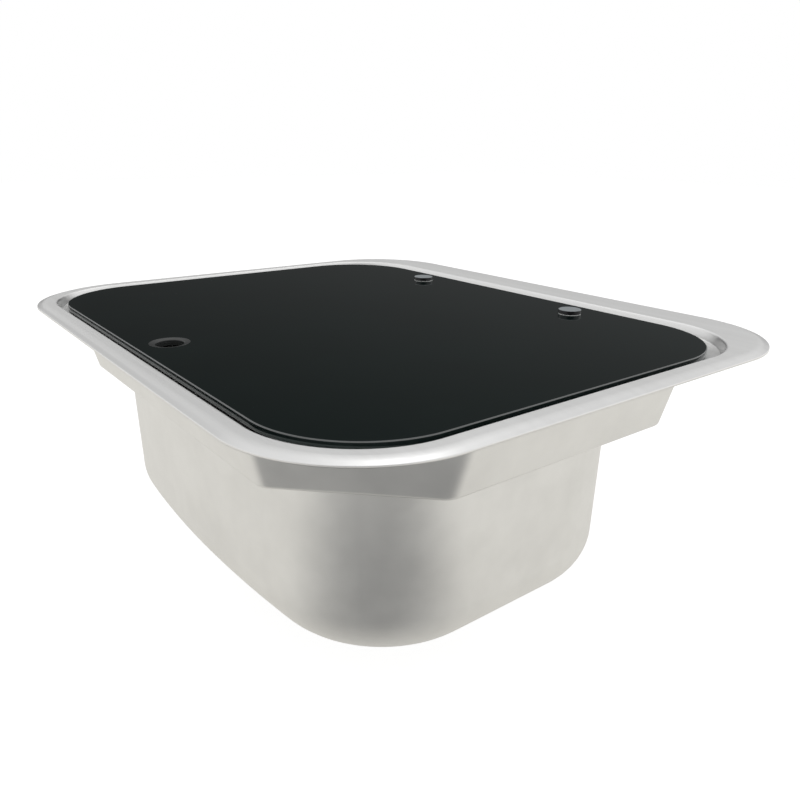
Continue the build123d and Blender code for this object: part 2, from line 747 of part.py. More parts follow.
with BuildPart() as plug_knob:
    knob_top = plug_top + plug_knob_height
    knob_points = (
        (0, plug_bottom - plug_rivet_height),
        (plug_rivet_diameter / 2, plug_bottom - plug_rivet_height),
        (plug_rivet_diameter / 2, plug_bottom),
        (plug_stem_diameter / 2, plug_bottom),
        (plug_stem_diameter / 2, plug_top),
        (plug_foot_diameter / 2, plug_top),
    )
    with BuildSketch(drain_section) as knob_outline:
        with BuildLine():
            Polyline(*knob_points)
            waist = (plug_waist_diameter / 2, plug_top + plug_knob_height / 2)
            shoulder = (plug_grip_diameter / 2, knob_top - plug_knob_edge)
            top_edge = (plug_grip_diameter / 2 - plug_knob_edge, knob_top)
            Spline(knob_points[-1], waist, shoulder)
            Polyline(shoulder, top_edge, (0, knob_top), knob_points[0])
        make_face()
    revolve(knob_outline.sketch, axis=drain_axis)
save(plug_knob, "plug_knob")
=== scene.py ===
import math

import bpy
import numpy as np
from mathutils import Matrix, Vector


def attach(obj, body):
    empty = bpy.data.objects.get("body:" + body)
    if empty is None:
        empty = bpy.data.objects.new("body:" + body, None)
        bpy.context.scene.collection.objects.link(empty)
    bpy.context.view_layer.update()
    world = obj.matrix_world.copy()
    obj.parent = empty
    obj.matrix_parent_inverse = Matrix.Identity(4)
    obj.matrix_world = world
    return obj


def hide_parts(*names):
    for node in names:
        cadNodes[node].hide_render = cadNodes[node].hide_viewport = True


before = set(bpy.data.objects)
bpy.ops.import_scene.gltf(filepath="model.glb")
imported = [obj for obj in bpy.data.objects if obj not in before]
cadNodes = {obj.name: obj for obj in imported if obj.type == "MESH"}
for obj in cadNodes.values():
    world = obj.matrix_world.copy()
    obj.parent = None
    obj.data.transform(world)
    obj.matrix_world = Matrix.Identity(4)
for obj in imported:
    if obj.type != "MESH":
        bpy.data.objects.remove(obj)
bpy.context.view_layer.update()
scene = bpy.context.scene
scene.view_settings.view_transform = "Standard"
millimetre = 0.001
print("frame loaded:", len(cadNodes), "nodes")

# All sizes in the dictionaries below are millimetres, in the CAD's own axes:
# X right, Y back, Z up from the worktop

# ways to work out a surface

# Steps round a quarter of every ring of the pressed sheet, the same for all so that rings join one to one
ringSteps = {"straight": 10, "bend": 10, "facet": 30}


def arcPoints(centreX, centreY, radius, start, end, steps):
    # points at equal angles on a circle, from start to end in degrees
    angle = np.radians(np.linspace(start, end, steps + 1))
    return np.stack([centreX + radius * np.cos(angle), centreY + radius * np.sin(angle)], 1)


def closeRing(corner, middleY, arcRadius=None):
    # a corner in the +X +Y quarter gets its two half sides, crowded towards the corner, and is mirrored
    # into four; with an arc radius the back and front sides follow a circle: height of an arc over its chord
    share = np.sin(np.linspace(0, 1, ringSteps["straight"] + 1)[:-1] * np.pi / 2)[:, None]
    sideMiddle = np.array([corner[0, 0], 0.0])
    rise = arcRadius - math.sqrt(arcRadius**2 - corner[-1, 0] ** 2) if arcRadius else 0.0
    backMiddle = np.array([0.0, corner[-1, 1] + rise])
    before = sideMiddle + (corner[0] - sideMiddle) * share
    after = backMiddle + (corner[-1] - backMiddle) * share[::-1]
    if arcRadius:
        after[:, 1] = backMiddle[1] - arcRadius + np.sqrt(arcRadius**2 - after[:, 0] ** 2)
    quarter = np.concatenate([before, corner, after])
    flipX = quarter * [-1, 1]
    flipY = quarter * [1, -1]
    ring = np.concatenate([quarter[:-1], flipX[:0:-1], -quarter[:-1], flipY[:0:-1]])
    return ring + [0, middleY]


def roundRing(form, grow, height=0.0):
    # rectangle with quarter-circle corners, moved outwards by grow
    halfX = form["width"] / 2 + grow
    halfY = form["depth"] / 2 + grow
    radius = form["corner"] + grow
    steps = 2 * ringSteps["bend"] + ringSteps["facet"]
    return closeRing(arcPoints(halfX - radius, halfY - radius, radius, 0, 90, steps), form["middleY"])


def eightSidedRing(form, grow, height):
    # rectangle with its corners cut at 45 degrees and all eight corners bent to a radius; every wall leans by
    # its own draft times the rise above the floor, and spare is what grow adds beyond the mean draft
    rise = height - form["level"]
    spare = grow - form["meanDraft"] * rise
    halfX = form["width"] / 2 + form["sideDraft"] * rise + spare
    front = form["front"] - form["frontDraft"] * rise - spare
    back = form["back"] + form["backDraft"] * rise + spare
    halfY = (back - front) / 2
    leg = form["leg"] + form["legGrowth"] * rise + spare * (2 - math.sqrt(2))
    bend = form["bend"] + spare
    setback = bend * math.tan(math.radians(22.5))
    first = arcPoints(halfX - bend, halfY - leg - setback, bend, 0, 45, ringSteps["bend"])
    last = arcPoints(halfX - leg - setback, halfY - bend, bend, 45, 90, ringSteps["bend"])
    share = np.linspace(0, 1, ringSteps["facet"] + 1)[1:-1, None]
    facet = first[-1] + (last[0] - first[-1]) * share
    return closeRing(np.concatenate([first, facet, last]), (front + back) / 2)


def bowedRing(form, grow, height=0.0):
    # straight sides, front and back on a circle through the bow's height, corners touching both,
    # moved outwards by grow
    half = form["width"] / 2
    arcRadius = (half**2 + form["bow"] ** 2) / (2 * form["bow"]) + grow
    radius = form["corner"] + grow
    centreX = half - form["corner"]
    away = arcRadius - radius
    centreY = form["depth"] / 2 + grow - arcRadius + math.sqrt(away**2 - centreX**2)
    turn = 90 - math.degrees(math.asin(centreX / away))
    steps = 2 * ringSteps["bend"] + ringSteps["facet"]
    return closeRing(arcPoints(centreX, centreY, radius, 0, turn, steps), form["middleY"], arcRadius)


def circleRing(form, radius, height=0.0):
    # circle with as many points as the rings above
    steps = 2 * (ringSteps["straight"] + ringSteps["bend"]) + ringSteps["facet"]
    quarter = arcPoints(0, 0, radius, 0, 90, steps)
    flipX = quarter * [-1, 1]
    flipY = quarter * [1, -1]
    ring = np.concatenate([quarter[:-1], flipX[:0:-1], -quarter[:-1], flipY[:0:-1]])
    return ring + [form.get("middleX", 0), form["middleY"]]


def bentLine(corners, degreesPerStep=6.0, margin=0.25):
    # straight runs between corners, each corner rounded by an arc of its own radius, with one more point
    # just outside both ends of an arc so that the flats beside it stay flat in the shading
    points = [np.array(corners[0][:2], float)]
    for before, here, after in zip(corners, corners[1:], corners[2:]):
        corner = np.array(here[:2], float)
        radius = here[2] if len(here) > 2 else 0.0
        if not radius:
            points.append(corner)
            continue
        back = np.array(before[:2], float) - corner
        onward = np.array(after[:2], float) - corner
        backRoom, onwardRoom = np.linalg.norm(back), np.linalg.norm(onward)
        back, onward = back / backRoom, onward / onwardRoom
        turn = math.pi - math.acos(np.clip(back @ onward, -1, 1))
        setback = radius * math.tan(turn / 2)
        middle = back + onward
        centre = corner + middle / np.linalg.norm(middle) * radius / math.cos(turn / 2)
        start, end = corner + back * setback, corner + onward * setback
        share = np.linspace(0, 1, max(2, round(math.degrees(turn) / degreesPerStep)) + 1)[:, None]
        startShare, endShare = np.sin((1 - share) * turn), np.sin(share * turn)
        arc = centre + (startShare * (start - centre) + endShare * (end - centre)) / math.sin(turn)
        points.append(start + back * min(margin, (backRoom - setback) / 3))
        points.extend(arc)
        points.append(end + onward * min(margin, (onwardRoom - setback) / 3))
    points.append(np.array(corners[-1][:2], float))
    return np.array(points)


def gridFaces(rows, columns, closeRows):
    # one four-sided face for each cell of a grid of points, closed round its columns
    r, c = np.meshgrid(np.arange(rows if closeRows else rows - 1), np.arange(columns), indexing="ij")
    nextR, nextC = (r + 1) % rows, (c + 1) % columns
    here, beyond = r * columns, nextR * columns
    return np.stack([here + c, here + nextC, beyond + nextC, beyond + c], -1).reshape(-1, 4)


def makePiece(name, points, faces, material, body, replaced):
    # points in millimetres and faces as rows of point numbers become a smooth-shaded mesh in its place
    mesh = bpy.data.meshes.new(name)
    mesh.from_pydata((np.asarray(points) * millimetre).tolist(), [], [list(f) for f in faces])
    mesh.update()
    mesh.shade_smooth()
    piece = bpy.data.objects.new(name, mesh)
    scene.collection.objects.link(piece)
    for one in material if isinstance(material, list) else [material]:
        mesh.materials.append(one)
    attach(piece, body)
    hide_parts(*replaced)
    return piece


def turnedPoints(profile, centre, steps):
    # radius and height pairs carried round a vertical axis
    angle = np.linspace(0, 2 * np.pi, steps, endpoint=False)
    radius, height = np.asarray(profile, float).T
    x = centre[0] + radius[:, None] * np.cos(angle)
    y = centre[1] + radius[:, None] * np.sin(angle)
    z = np.repeat(height[:, None], steps, 1)
    return np.stack([x, y, z], -1)


def turnedPiece(name, profile, centre, material, body, replaced, steps=96):
    # a profile carried round a vertical axis; one that starts and ends on the axis is closed by a single
    # point there
    onAxis = profile[0][0] == 0
    rings = turnedPoints(profile[1:-1] if onAxis else profile, centre, steps)
    rows = len(rings)
    points, faces = rings.reshape(-1, 3), gridFaces(rows, steps, not onAxis).tolist()
    if onAxis:
        ends = [(centre[0], centre[1], profile[0][1]), (centre[0], centre[1], profile[-1][1])]
        points = np.concatenate([points, ends])
        around = np.arange(steps)
        after = (around + 1) % steps
        last = (rows - 1) * steps
        faces += np.stack([after, around, np.full(steps, rows * steps)], 1).tolist()
        faces += np.stack([last + around, last + after, np.full(steps, rows * steps + 1)], 1).tolist()
    return makePiece(name, points, faces, material, body, replaced)


# ways to build a finish

def addNode(tree, kind, settings=None, **inputs):
    node = tree.nodes.new(kind)
    for key, value in (settings or {}).items():
        setattr(node, key, value)
    for key, value in inputs.items():
        numbered = key[0] == "i" and key[1:].isdigit()
        socket = node.inputs[int(key[1:]) if numbered else key.replace("_", " ")]
        if isinstance(value, bpy.types.NodeSocket):
            tree.links.new(value, socket)
        else:
            socket.default_value = value
    return node


def mathNode(tree, operation, *values):
    # one sum on numbers or sockets
    inputs = {f"i{place}": value for place, value in enumerate(values)}
    return addNode(tree, "ShaderNodeMath", {"operation": operation}, **inputs).outputs[0]


def smoothStep(tree, value, start, end, low=0.0, high=1.0):
    # low before start, high after end, a smooth step between
    values = {"i0": value, "i1": start, "i2": end, "i3": low, "i4": high}
    return addNode(tree, "ShaderNodeMapRange", {"interpolation_type": "SMOOTHSTEP"}, **values).outputs[0]


def mixNumber(tree, share, first, second):
    return addNode(tree, "ShaderNodeMix", None, i0=share, i2=first, i3=second).outputs[0]


def dotNode(tree, first, second):
    settings = {"operation": "DOT_PRODUCT"}
    return addNode(tree, "ShaderNodeVectorMath", settings, i0=first, i1=second).outputs["Value"]


def noiseNode(tree, vector, scale, detail, roughness):
    inputs = {"Vector": vector, "Scale": scale, "Detail": detail, "Roughness": roughness}
    return addNode(tree, "ShaderNodeTexNoise", None, **inputs).outputs["Fac"]


def newGroup(name, inputs, outputs):
    # an empty node group with named number, colour or vector sockets
    group = bpy.data.node_groups.new(name, "ShaderNodeTree")
    for socketName, kind, value in inputs:
        socket = group.interface.new_socket(socketName, in_out="INPUT", socket_type=kind)
        if value is not None:
            socket.default_value = value
    for socketName, kind in outputs:
        group.interface.new_socket(socketName, in_out="OUTPUT", socket_type=kind)
    return group, group.nodes.new("NodeGroupInput"), group.nodes.new("NodeGroupOutput")


def brushMarkGroup():
    # fine lines along X: noise on coordinates squeezed along the brush's way
    group, given, result = newGroup(
        "brushMarks",
        [
            ("Vector", "NodeSocketVector", None), ("Along", "NodeSocketFloat", 20.0),
            ("Across", "NodeSocketFloat", 1500.0),
        ],
        [("Lines", "NodeSocketFloat"), ("Streaks", "NodeSocketFloat")],
    )
    vector, along, across = given.outputs["Vector"], given.outputs["Along"], given.outputs["Across"]
    scale = addNode(group, "ShaderNodeCombineXYZ", X=along, Y=across, Z=across).outputs[0]
    multiply = {"operation": "MULTIPLY"}
    stretched = addNode(group, "ShaderNodeVectorMath", multiply, i0=vector, i1=scale).outputs[0]
    group.links.new(noiseNode(group, stretched, 1.0, 3.0, 0.6), result.inputs["Lines"])
    group.links.new(noiseNode(group, stretched, 0.16, 2.0, 0.5), result.inputs["Streaks"])
    return group


def cloudGroup():
    # soft uneven patches, 0 to 1, with the contrast spread round the middle
    group, given, result = newGroup(
        "cloudyPatches",
        [
            ("Vector", "NodeSocketVector", None), ("Scale", "NodeSocketFloat", 20.0),
            ("Spread", "NodeSocketFloat", 0.25),
        ],
        [("Patches", "NodeSocketFloat")],
    )
    vector, scale, spread = given.outputs["Vector"], given.outputs["Scale"], given.outputs["Spread"]
    low = mathNode(group, "SUBTRACT", 0.5, spread)
    high = mathNode(group, "ADD", 0.5, spread)
    patches = smoothStep(group, noiseNode(group, vector, scale, 3.0, 0.5), low, high)
    group.links.new(patches, result.inputs["Patches"])
    return group


def grainGroup():
    # fine even grain: the mean of two noises of different sizes
    group, given, result = newGroup(
        "fineGrain",
        [("Vector", "NodeSocketVector", None), ("Scale", "NodeSocketFloat", 900.0)],
        [("Grain", "NodeSocketFloat")],
    )
    vector, scale = given.outputs["Vector"], given.outputs["Scale"]
    fine = noiseNode(group, vector, scale, 2.0, 0.6)
    coarse = noiseNode(group, vector, mathNode(group, "MULTIPLY", scale, 0.35), 2.0, 0.5)
    mean = mathNode(group, "MULTIPLY", mathNode(group, "ADD", fine, coarse), 0.5)
    group.links.new(mean, result.inputs["Grain"])
    return group


brushMarks, cloudyPatches, fineGrain = brushMarkGroup(), cloudGroup(), grainGroup()


def placeGroup(tree, group, **inputs):
    return addNode(tree, "ShaderNodeGroup", {"node_tree": group}, **inputs)


def blendNumber(tree, share, low, high):
    return addNode(tree, "ShaderNodeMapRange", None, i0=share, i1=0.0, i2=1.0, i3=low, i4=high).outputs[0]


def blendColour(tree, share, first, second):
    node = tree.nodes.new("ShaderNodeMix")
    node.data_type = "RGBA"
    for socket, value in ((node.inputs[0], share), (node.inputs[6], first), (node.inputs[7], second)):
        if isinstance(value, bpy.types.NodeSocket):
            tree.links.new(value, socket)
        else:
            socket.default_value = value if isinstance(value, (int, float)) else (*value[:3], 1.0)
    return node.outputs[2]


def newMaterial(name, **shaderValues):
    material = bpy.data.materials.new(name)
    material.use_nodes = True
    shader = material.node_tree.nodes["Principled BSDF"]
    for key, value in shaderValues.items():
        shader.inputs[key.replace("_", " ")].default_value = value
    place = material.node_tree.nodes.new("ShaderNodeTexCoord").outputs["Object"]
    return material, material.node_tree, shader, place


def shaded(colour, share):
    # the same colour, darker or lighter by a share
    return [part * share for part in colour]


def addBump(tree, shader, height, strength, distance):
    depth = distance * millimetre
    bump = addNode(tree, "ShaderNodeBump", None, Strength=strength, Distance=depth, Height=height)
    tree.links.new(bump.outputs[0], shader.inputs["Normal"])


def plainFinish(name, look):
    # one finish for moulded, rubber and small metal pieces: patches tint the colour, grain breaks the gloss
    # and the surface
    material, tree, shader, place = newMaterial(
        name, Metallic=look.get("metallic", 0.0), IOR=1.5, Specular_IOR_Level=look.get("specular", 0.5)
    )
    patches = placeGroup(tree, cloudyPatches, Vector=place, Scale=look["patchScale"], Spread=0.3).outputs[0]
    grain = placeGroup(tree, fineGrain, Vector=place, Scale=look["grainScale"]).outputs[0]
    tree.links.new(blendColour(tree, patches, look["dark"], look["light"]), shader.inputs["Base Color"])
    tree.links.new(blendNumber(tree, grain, *look["roughness"]), shader.inputs["Roughness"])
    addBump(tree, shader, grain, look.get("bump", 0.3), look["grainDepth"])
    return material


# pressed steel shell

sinkShell = {
    "rim": {"width": 420.0, "depth": 354.0, "middleY": 0.0, "corner": 70.5},
    "recess": {"width": 392.8, "depth": 307.9, "middleY": -10.35, "corner": 57.0},
    "pan": {
        "level": -38.2, "width": 360.0224, "front": -147.975, "back": 130.222, "leg": 61.5, "bend": 9.0,
        "sideDraft": 0.312, "frontDraft": 0.25, "backDraft": 0.22, "meanDraft": 0.27, "legGrowth": 0.30086,
    },
    "bowl": {"width": 328.8224, "depth": 231.447, "middleY": -20.7515, "corner": 74.8, "bow": 13.9},
    "drain": {"middleY": -20.7515, "radius": 24.0},
    "sheet": 1.0,
    "rimSteel": (0.735, 0.735, 0.73),
    "rimTint": (0.92, 1.05),
    "panSteel": (0.72, 0.722, 0.712),
    "panTint": (0.92, 1.04),
    "rimFoot": (-6.0, -2.0),  # heights between which the pan's finish turns into the rim's
    "rimFlat": (1.6, 2.3),  # heights between which the rim's slope turns into its flat
    "panRoughness": (0.34, 0.42),
    "flatRoughness": (0.46, 0.60),
    "slopeRoughness": (0.24, 0.48),
    "smallPatchShare": 0.35,
    "bump": 0.16,
    "bumpDepth": 0.02,
}


def shellSections(form):
    # the two skins as runs of (ring kind, ring sizes, corners), each corner an offset, a height and a bend
    outerPan = dict(form["pan"], level=form["pan"]["level"] - form["sheet"])
    top = [
        (roundRing, form["rim"], [(0, 0), (0, 1.0, 0.4), (-5.3, 2.4, 12.0), (-8.5, 2.4)]),
        (roundRing, form["recess"], [(2.5, 2.4), (0, 2.4, 2.0), (-2.2, -3.3, 1.0), (-3.0, -3.3)]),
        (eightSidedRing, form["pan"], [(11.0, -3.3), (9.423, -3.3, 1.8), (0, -38.2, 2.5), (-2.4, -38.2)]),
        (bowedRing, form["bowl"], [(4.2, -38.2), (0, -38.2, 4.0), (-2.424, -143.6, 29.7), (-36, -143.6)]),
        (circleRing, form["drain"], [(24.3, -143.6), (24.0, -143.6)]),
    ]
    under = [
        (circleRing, form["drain"], [(24.0, -144.6), (24.3, -144.6)]),
        (bowedRing, form["bowl"], [(-36, -144.6), (-1.447, -144.6, 30.7), (0.977, -39.2, 3.0), (4.2, -39.2)]),
        (eightSidedRing, outerPan, [(-2.4, -39.2), (0.76, -39.2, 3.5), (10.183, -4.3, 0.8), (11.0, -4.3)]),
        (roundRing, form["recess"], [(-3.0, -4.3), (-1.514, -4.3, 2.0), (0.686, 1.4, 1.0), (2.5, 1.4)]),
        (roundRing, form["rim"], [(-8.5, 1.4), (-5.3, 1.4, 10.0), (-1.0, 0.2, 0.4), (-1.0, 0)]),
    ]
    return top + under


def shellSurface(form):
    # rows: the closed section through the sheet, columns: round the sink
    rows = []
    for ringOf, sizes, corners in shellSections(form):
        for offset, height in bentLine(corners):
            ring = ringOf(sizes, offset, height)
            rows.append(np.column_stack([ring, np.full(len(ring), height)]))
    return np.array(rows)


def steelFinish(form):
    # satin brushed rim, matt drawn pan and bowl, told apart by height; the steel is a little cloudy all over
    material, tree, shader, place = newMaterial("pressedSteel", Metallic=1.0)
    height = addNode(tree, "ShaderNodeSeparateXYZ", None, Vector=place).outputs["Z"]
    onRim = smoothStep(tree, height, *shaded(form["rimFoot"], millimetre))
    onFlat = smoothStep(tree, height, *shaded(form["rimFlat"], millimetre))
    brush = placeGroup(tree, brushMarks, Vector=place, Along=14.0, Across=1300.0)
    grain = placeGroup(tree, fineGrain, Vector=place, Scale=1100.0).outputs[0]
    broad = placeGroup(tree, cloudyPatches, Vector=place, Scale=26.0, Spread=0.2).outputs[0]
    small = placeGroup(tree, cloudyPatches, Vector=place, Scale=85.0, Spread=0.3).outputs[0]
    lines, streaks = brush.outputs["Lines"], brush.outputs["Streaks"]
    smallShare = blendNumber(tree, small, 0.0, form["smallPatchShare"])
    mottle = mathNode(tree, "MULTIPLY_ADD", broad, 1 - form["smallPatchShare"], smallShare)
    panColour = blendColour(tree, mottle, *[shaded(form["panSteel"], share) for share in form["panTint"]])
    rimColour = blendColour(tree, streaks, *[shaded(form["rimSteel"], share) for share in form["rimTint"]])
    tree.links.new(blendColour(tree, onRim, panColour, rimColour), shader.inputs["Base Color"])
    flat = blendNumber(tree, lines, *form["flatRoughness"])
    slope = blendNumber(tree, streaks, *form["slopeRoughness"])
    pan = blendNumber(tree, mottle, *form["panRoughness"])
    roughness = mixNumber(tree, onRim, pan, mixNumber(tree, onFlat, slope, flat))
    tree.links.new(roughness, shader.inputs["Roughness"])
    addBump(tree, shader, mixNumber(tree, onRim, grain, lines), form["bump"], form["bumpDepth"])
    return material


shellPoints = shellSurface(sinkShell)
pressedSteel = steelFinish(sinkShell)
makePiece(
    "sinkPressing", shellPoints.reshape(-1, 3), gridFaces(*shellPoints.shape[:2], True), pressedSteel,
    "sink", ["sink_shell"],
)
print("sink pressing:", shellPoints.shape)

# glass lid

glassLid = {
    "plate": {"width": 382.4, "depth": 291.8, "middleY": -12.9, "corner": 58.0},
    "bottom": -2.3,
    "top": 1.7,
    "arris": 0.5,
    "hole": (-4.6, -138.9),
    "holeRadius": 8.0,
    "bevelWidth": 3.4,
    "bevelDepth": 0.6,
    "flatMargin": 1.2,  # from the edge to the first row on the flats
    "bendStep": 9,
    "bendMargin": 0.08,
    "glassColour": (0.0012, 0.0046, 0.0042),
    "edgeColour": (0.12, 0.125, 0.125),
    "bevelColour": (0.030, 0.032, 0.032),
}


def glassSurface(form):
    # rings round the finger hole joined along rays to rings of the plate's outline; a ray has the same angle
    # on both
    hole = np.array(form["hole"])
    outline = roundRing(form["plate"], 0)
    outlineAngle = np.unwrap(np.arctan2(*(outline - hole).T[::-1]))
    start = outlineAngle[0]
    even = start + np.linspace(0, 2 * np.pi, 240, endpoint=False)
    angle = np.unique(np.round(np.concatenate([outlineAngle, even]), 5))

    def plateRing(grow):
        ring = roundRing(form["plate"], grow)
        known = np.append(outlineAngle, start + 2 * np.pi)
        return np.stack([np.interp(angle, known, np.append(line, line[0])) for line in ring.T], 1)

    def holeRing(radius):
        return hole + radius * np.stack([np.cos(angle), np.sin(angle)], 1)

    top, bottom, arris, margin = form["top"], form["bottom"], form["arris"], form["flatMargin"]
    wide = form["holeRadius"] + form["bevelWidth"]
    outside = bentLine([
        (-margin, top), (-arris, top, 0.25), (0, top - arris, 0.4),
        (0, bottom + arris, 0.4), (-arris, bottom, 0.25), (-margin, bottom),
    ], form["bendStep"], form["bendMargin"])
    inside = bentLine([
        (form["holeRadius"] + 1, bottom), (form["holeRadius"], bottom, 0.3),
        (form["holeRadius"], top - form["bevelDepth"], 0.5), (wide, top, 0.3), (wide + 1, top),
    ], form["bendStep"], form["bendMargin"])
    rows = [(holeRing(radius), height) for radius, height in inside]
    rows += [(plateRing(grow), height) for grow, height in outside]
    points = np.array([np.column_stack([ring, np.full(len(ring), height)]) for ring, height in rows])
    return points, len(inside), len(outside)


def glassFinish(form):
    # black glass: a faint film of smudges lifts the gloss here and there
    material, tree, shader, place = newMaterial(
        "blackGlass", IOR=1.5, Specular_IOR_Level=0.5, Specular_Tint=(0.88, 1.0, 0.98, 1.0)
    )
    film = placeGroup(tree, cloudyPatches, Vector=place, Scale=14.0, Spread=0.2).outputs[0]
    specks = placeGroup(tree, cloudyPatches, Vector=place, Scale=160.0, Spread=0.1).outputs[0]
    smudge = mathNode(tree, "MULTIPLY", film, specks)
    colour = blendColour(tree, film, form["glassColour"], shaded(form["glassColour"], 1.25))
    tree.links.new(colour, shader.inputs["Base Color"])
    tree.links.new(blendNumber(tree, smudge, 0.03, 0.075), shader.inputs["Roughness"])
    return material


glassPoints, insideRows, outsideRows = glassSurface(glassLid)
blackGlass = glassFinish(glassLid)
groundEdge = plainFinish("groundEdge", {
    "dark": shaded(glassLid["edgeColour"], 0.85), "light": glassLid["edgeColour"], "patchScale": 60.0,
    "grainScale": 2500.0, "grainDepth": 0.01, "roughness": (0.28, 0.42),
})
bevelGround = plainFinish("bevelGround", {
    "dark": shaded(glassLid["bevelColour"], 0.8), "light": glassLid["bevelColour"], "patchScale": 60.0,
    "grainScale": 2500.0, "grainDepth": 0.01, "roughness": (0.3, 0.42), "specular": 0.3,
})
glassFaces = gridFaces(*glassPoints.shape[:2], True)[:, ::-1]
glassPlate = makePiece(
    "glassPlate", glassPoints.reshape(-1, 3), glassFaces, [blackGlass, groundEdge, bevelGround],
    "lid", ["glass_lid"],
)
glassRow = np.repeat(np.arange(glassPoints.shape[0]), glassPoints.shape[1])
edgeRow = glassRow - insideRows
halfEdge = outsideRows // 2
# the ground arrises leave out the rows at the polished flats and along the middle of the edge
onTopArris = (edgeRow > 4) & (edgeRow < halfEdge - 5)
onLowArris = (edgeRow > halfEdge + 3) & (edgeRow < outsideRows - 6)
isArris = (onTopArris | onLowArris).astype(np.int32)
isBevel = (glassRow < insideRows - 2).astype(np.int32)
glassPlate.data.polygons.foreach_set("material_index", isArris + 2 * isBevel)
print("glass plate:", glassPoints.shape)

# hinge caps

hingeCap = {
    "centres": {"left": (-78.4, 109.6), "right": (78.4, 109.6)},
    "radius": 7.6,
    "seat": 2.0,
    "top": 4.8,
    "edgeBend": 0.35,
    "stud": 2.5,
    "studEnd": -11.3,
    "sideColour": (0.012, 0.012, 0.013),
    # painted sheen: the grey that reflection gives the black cap's top, painted into its colour
    "paintedSheenColour": (0.225, 0.245, 0.255),
}


def capFinish(form):
    # satin face, told from the glossier side by height, with a fine grain; the face's grey colour is a
    # painted sheen, the reflection a black satin top shows, laid over the near-black side colour
    material, tree, shader, place = newMaterial("capFinish", IOR=1.5)
    height = addNode(tree, "ShaderNodeSeparateXYZ", None, Vector=place).outputs["Z"]
    level = form["top"] * millimetre
    low, high = level - 0.3 * millimetre, level - 0.1 * millimetre
    onFace = addNode(tree, "ShaderNodeMapRange", None, i0=height, i1=low, i2=high).outputs[0]
    grain = placeGroup(tree, fineGrain, Vector=place, Scale=2600.0).outputs[0]
    # the top is painted a sheen grey, lighter than the black side, with a fine grain over it
    face = blendColour(tree, grain, shaded(form["paintedSheenColour"], 0.85), shaded(form["paintedSheenColour"], 1.15))
    tree.links.new(blendColour(tree, onFace, form["sideColour"], face), shader.inputs["Base Color"])
    rough = mixNumber(tree, onFace, 0.24, blendNumber(tree, grain, 0.42, 0.55))
    tree.links.new(rough, shader.inputs["Roughness"])
    addBump(tree, shader, grain, 0.3, 0.02)
    return material


capProfile = bentLine([
    (0, hingeCap["studEnd"]), (hingeCap["stud"], hingeCap["studEnd"], 0.5),
    (hingeCap["stud"], hingeCap["seat"], 0.1), (hingeCap["radius"], hingeCap["seat"], 0.15),
    (hingeCap["radius"], hingeCap["top"], hingeCap["edgeBend"]), (0, hingeCap["top"]),
], 15, 0.06).tolist()
satinCap = capFinish(hingeCap)
for side, centre in hingeCap["centres"].items():
    turnedPiece(f"{side}CapTurned", capProfile, centre, satinCap, "lid", [f"hinge_{side}_cap"])
print("hinge caps:", len(capProfile))

# finishes of the CAD nodes that stay

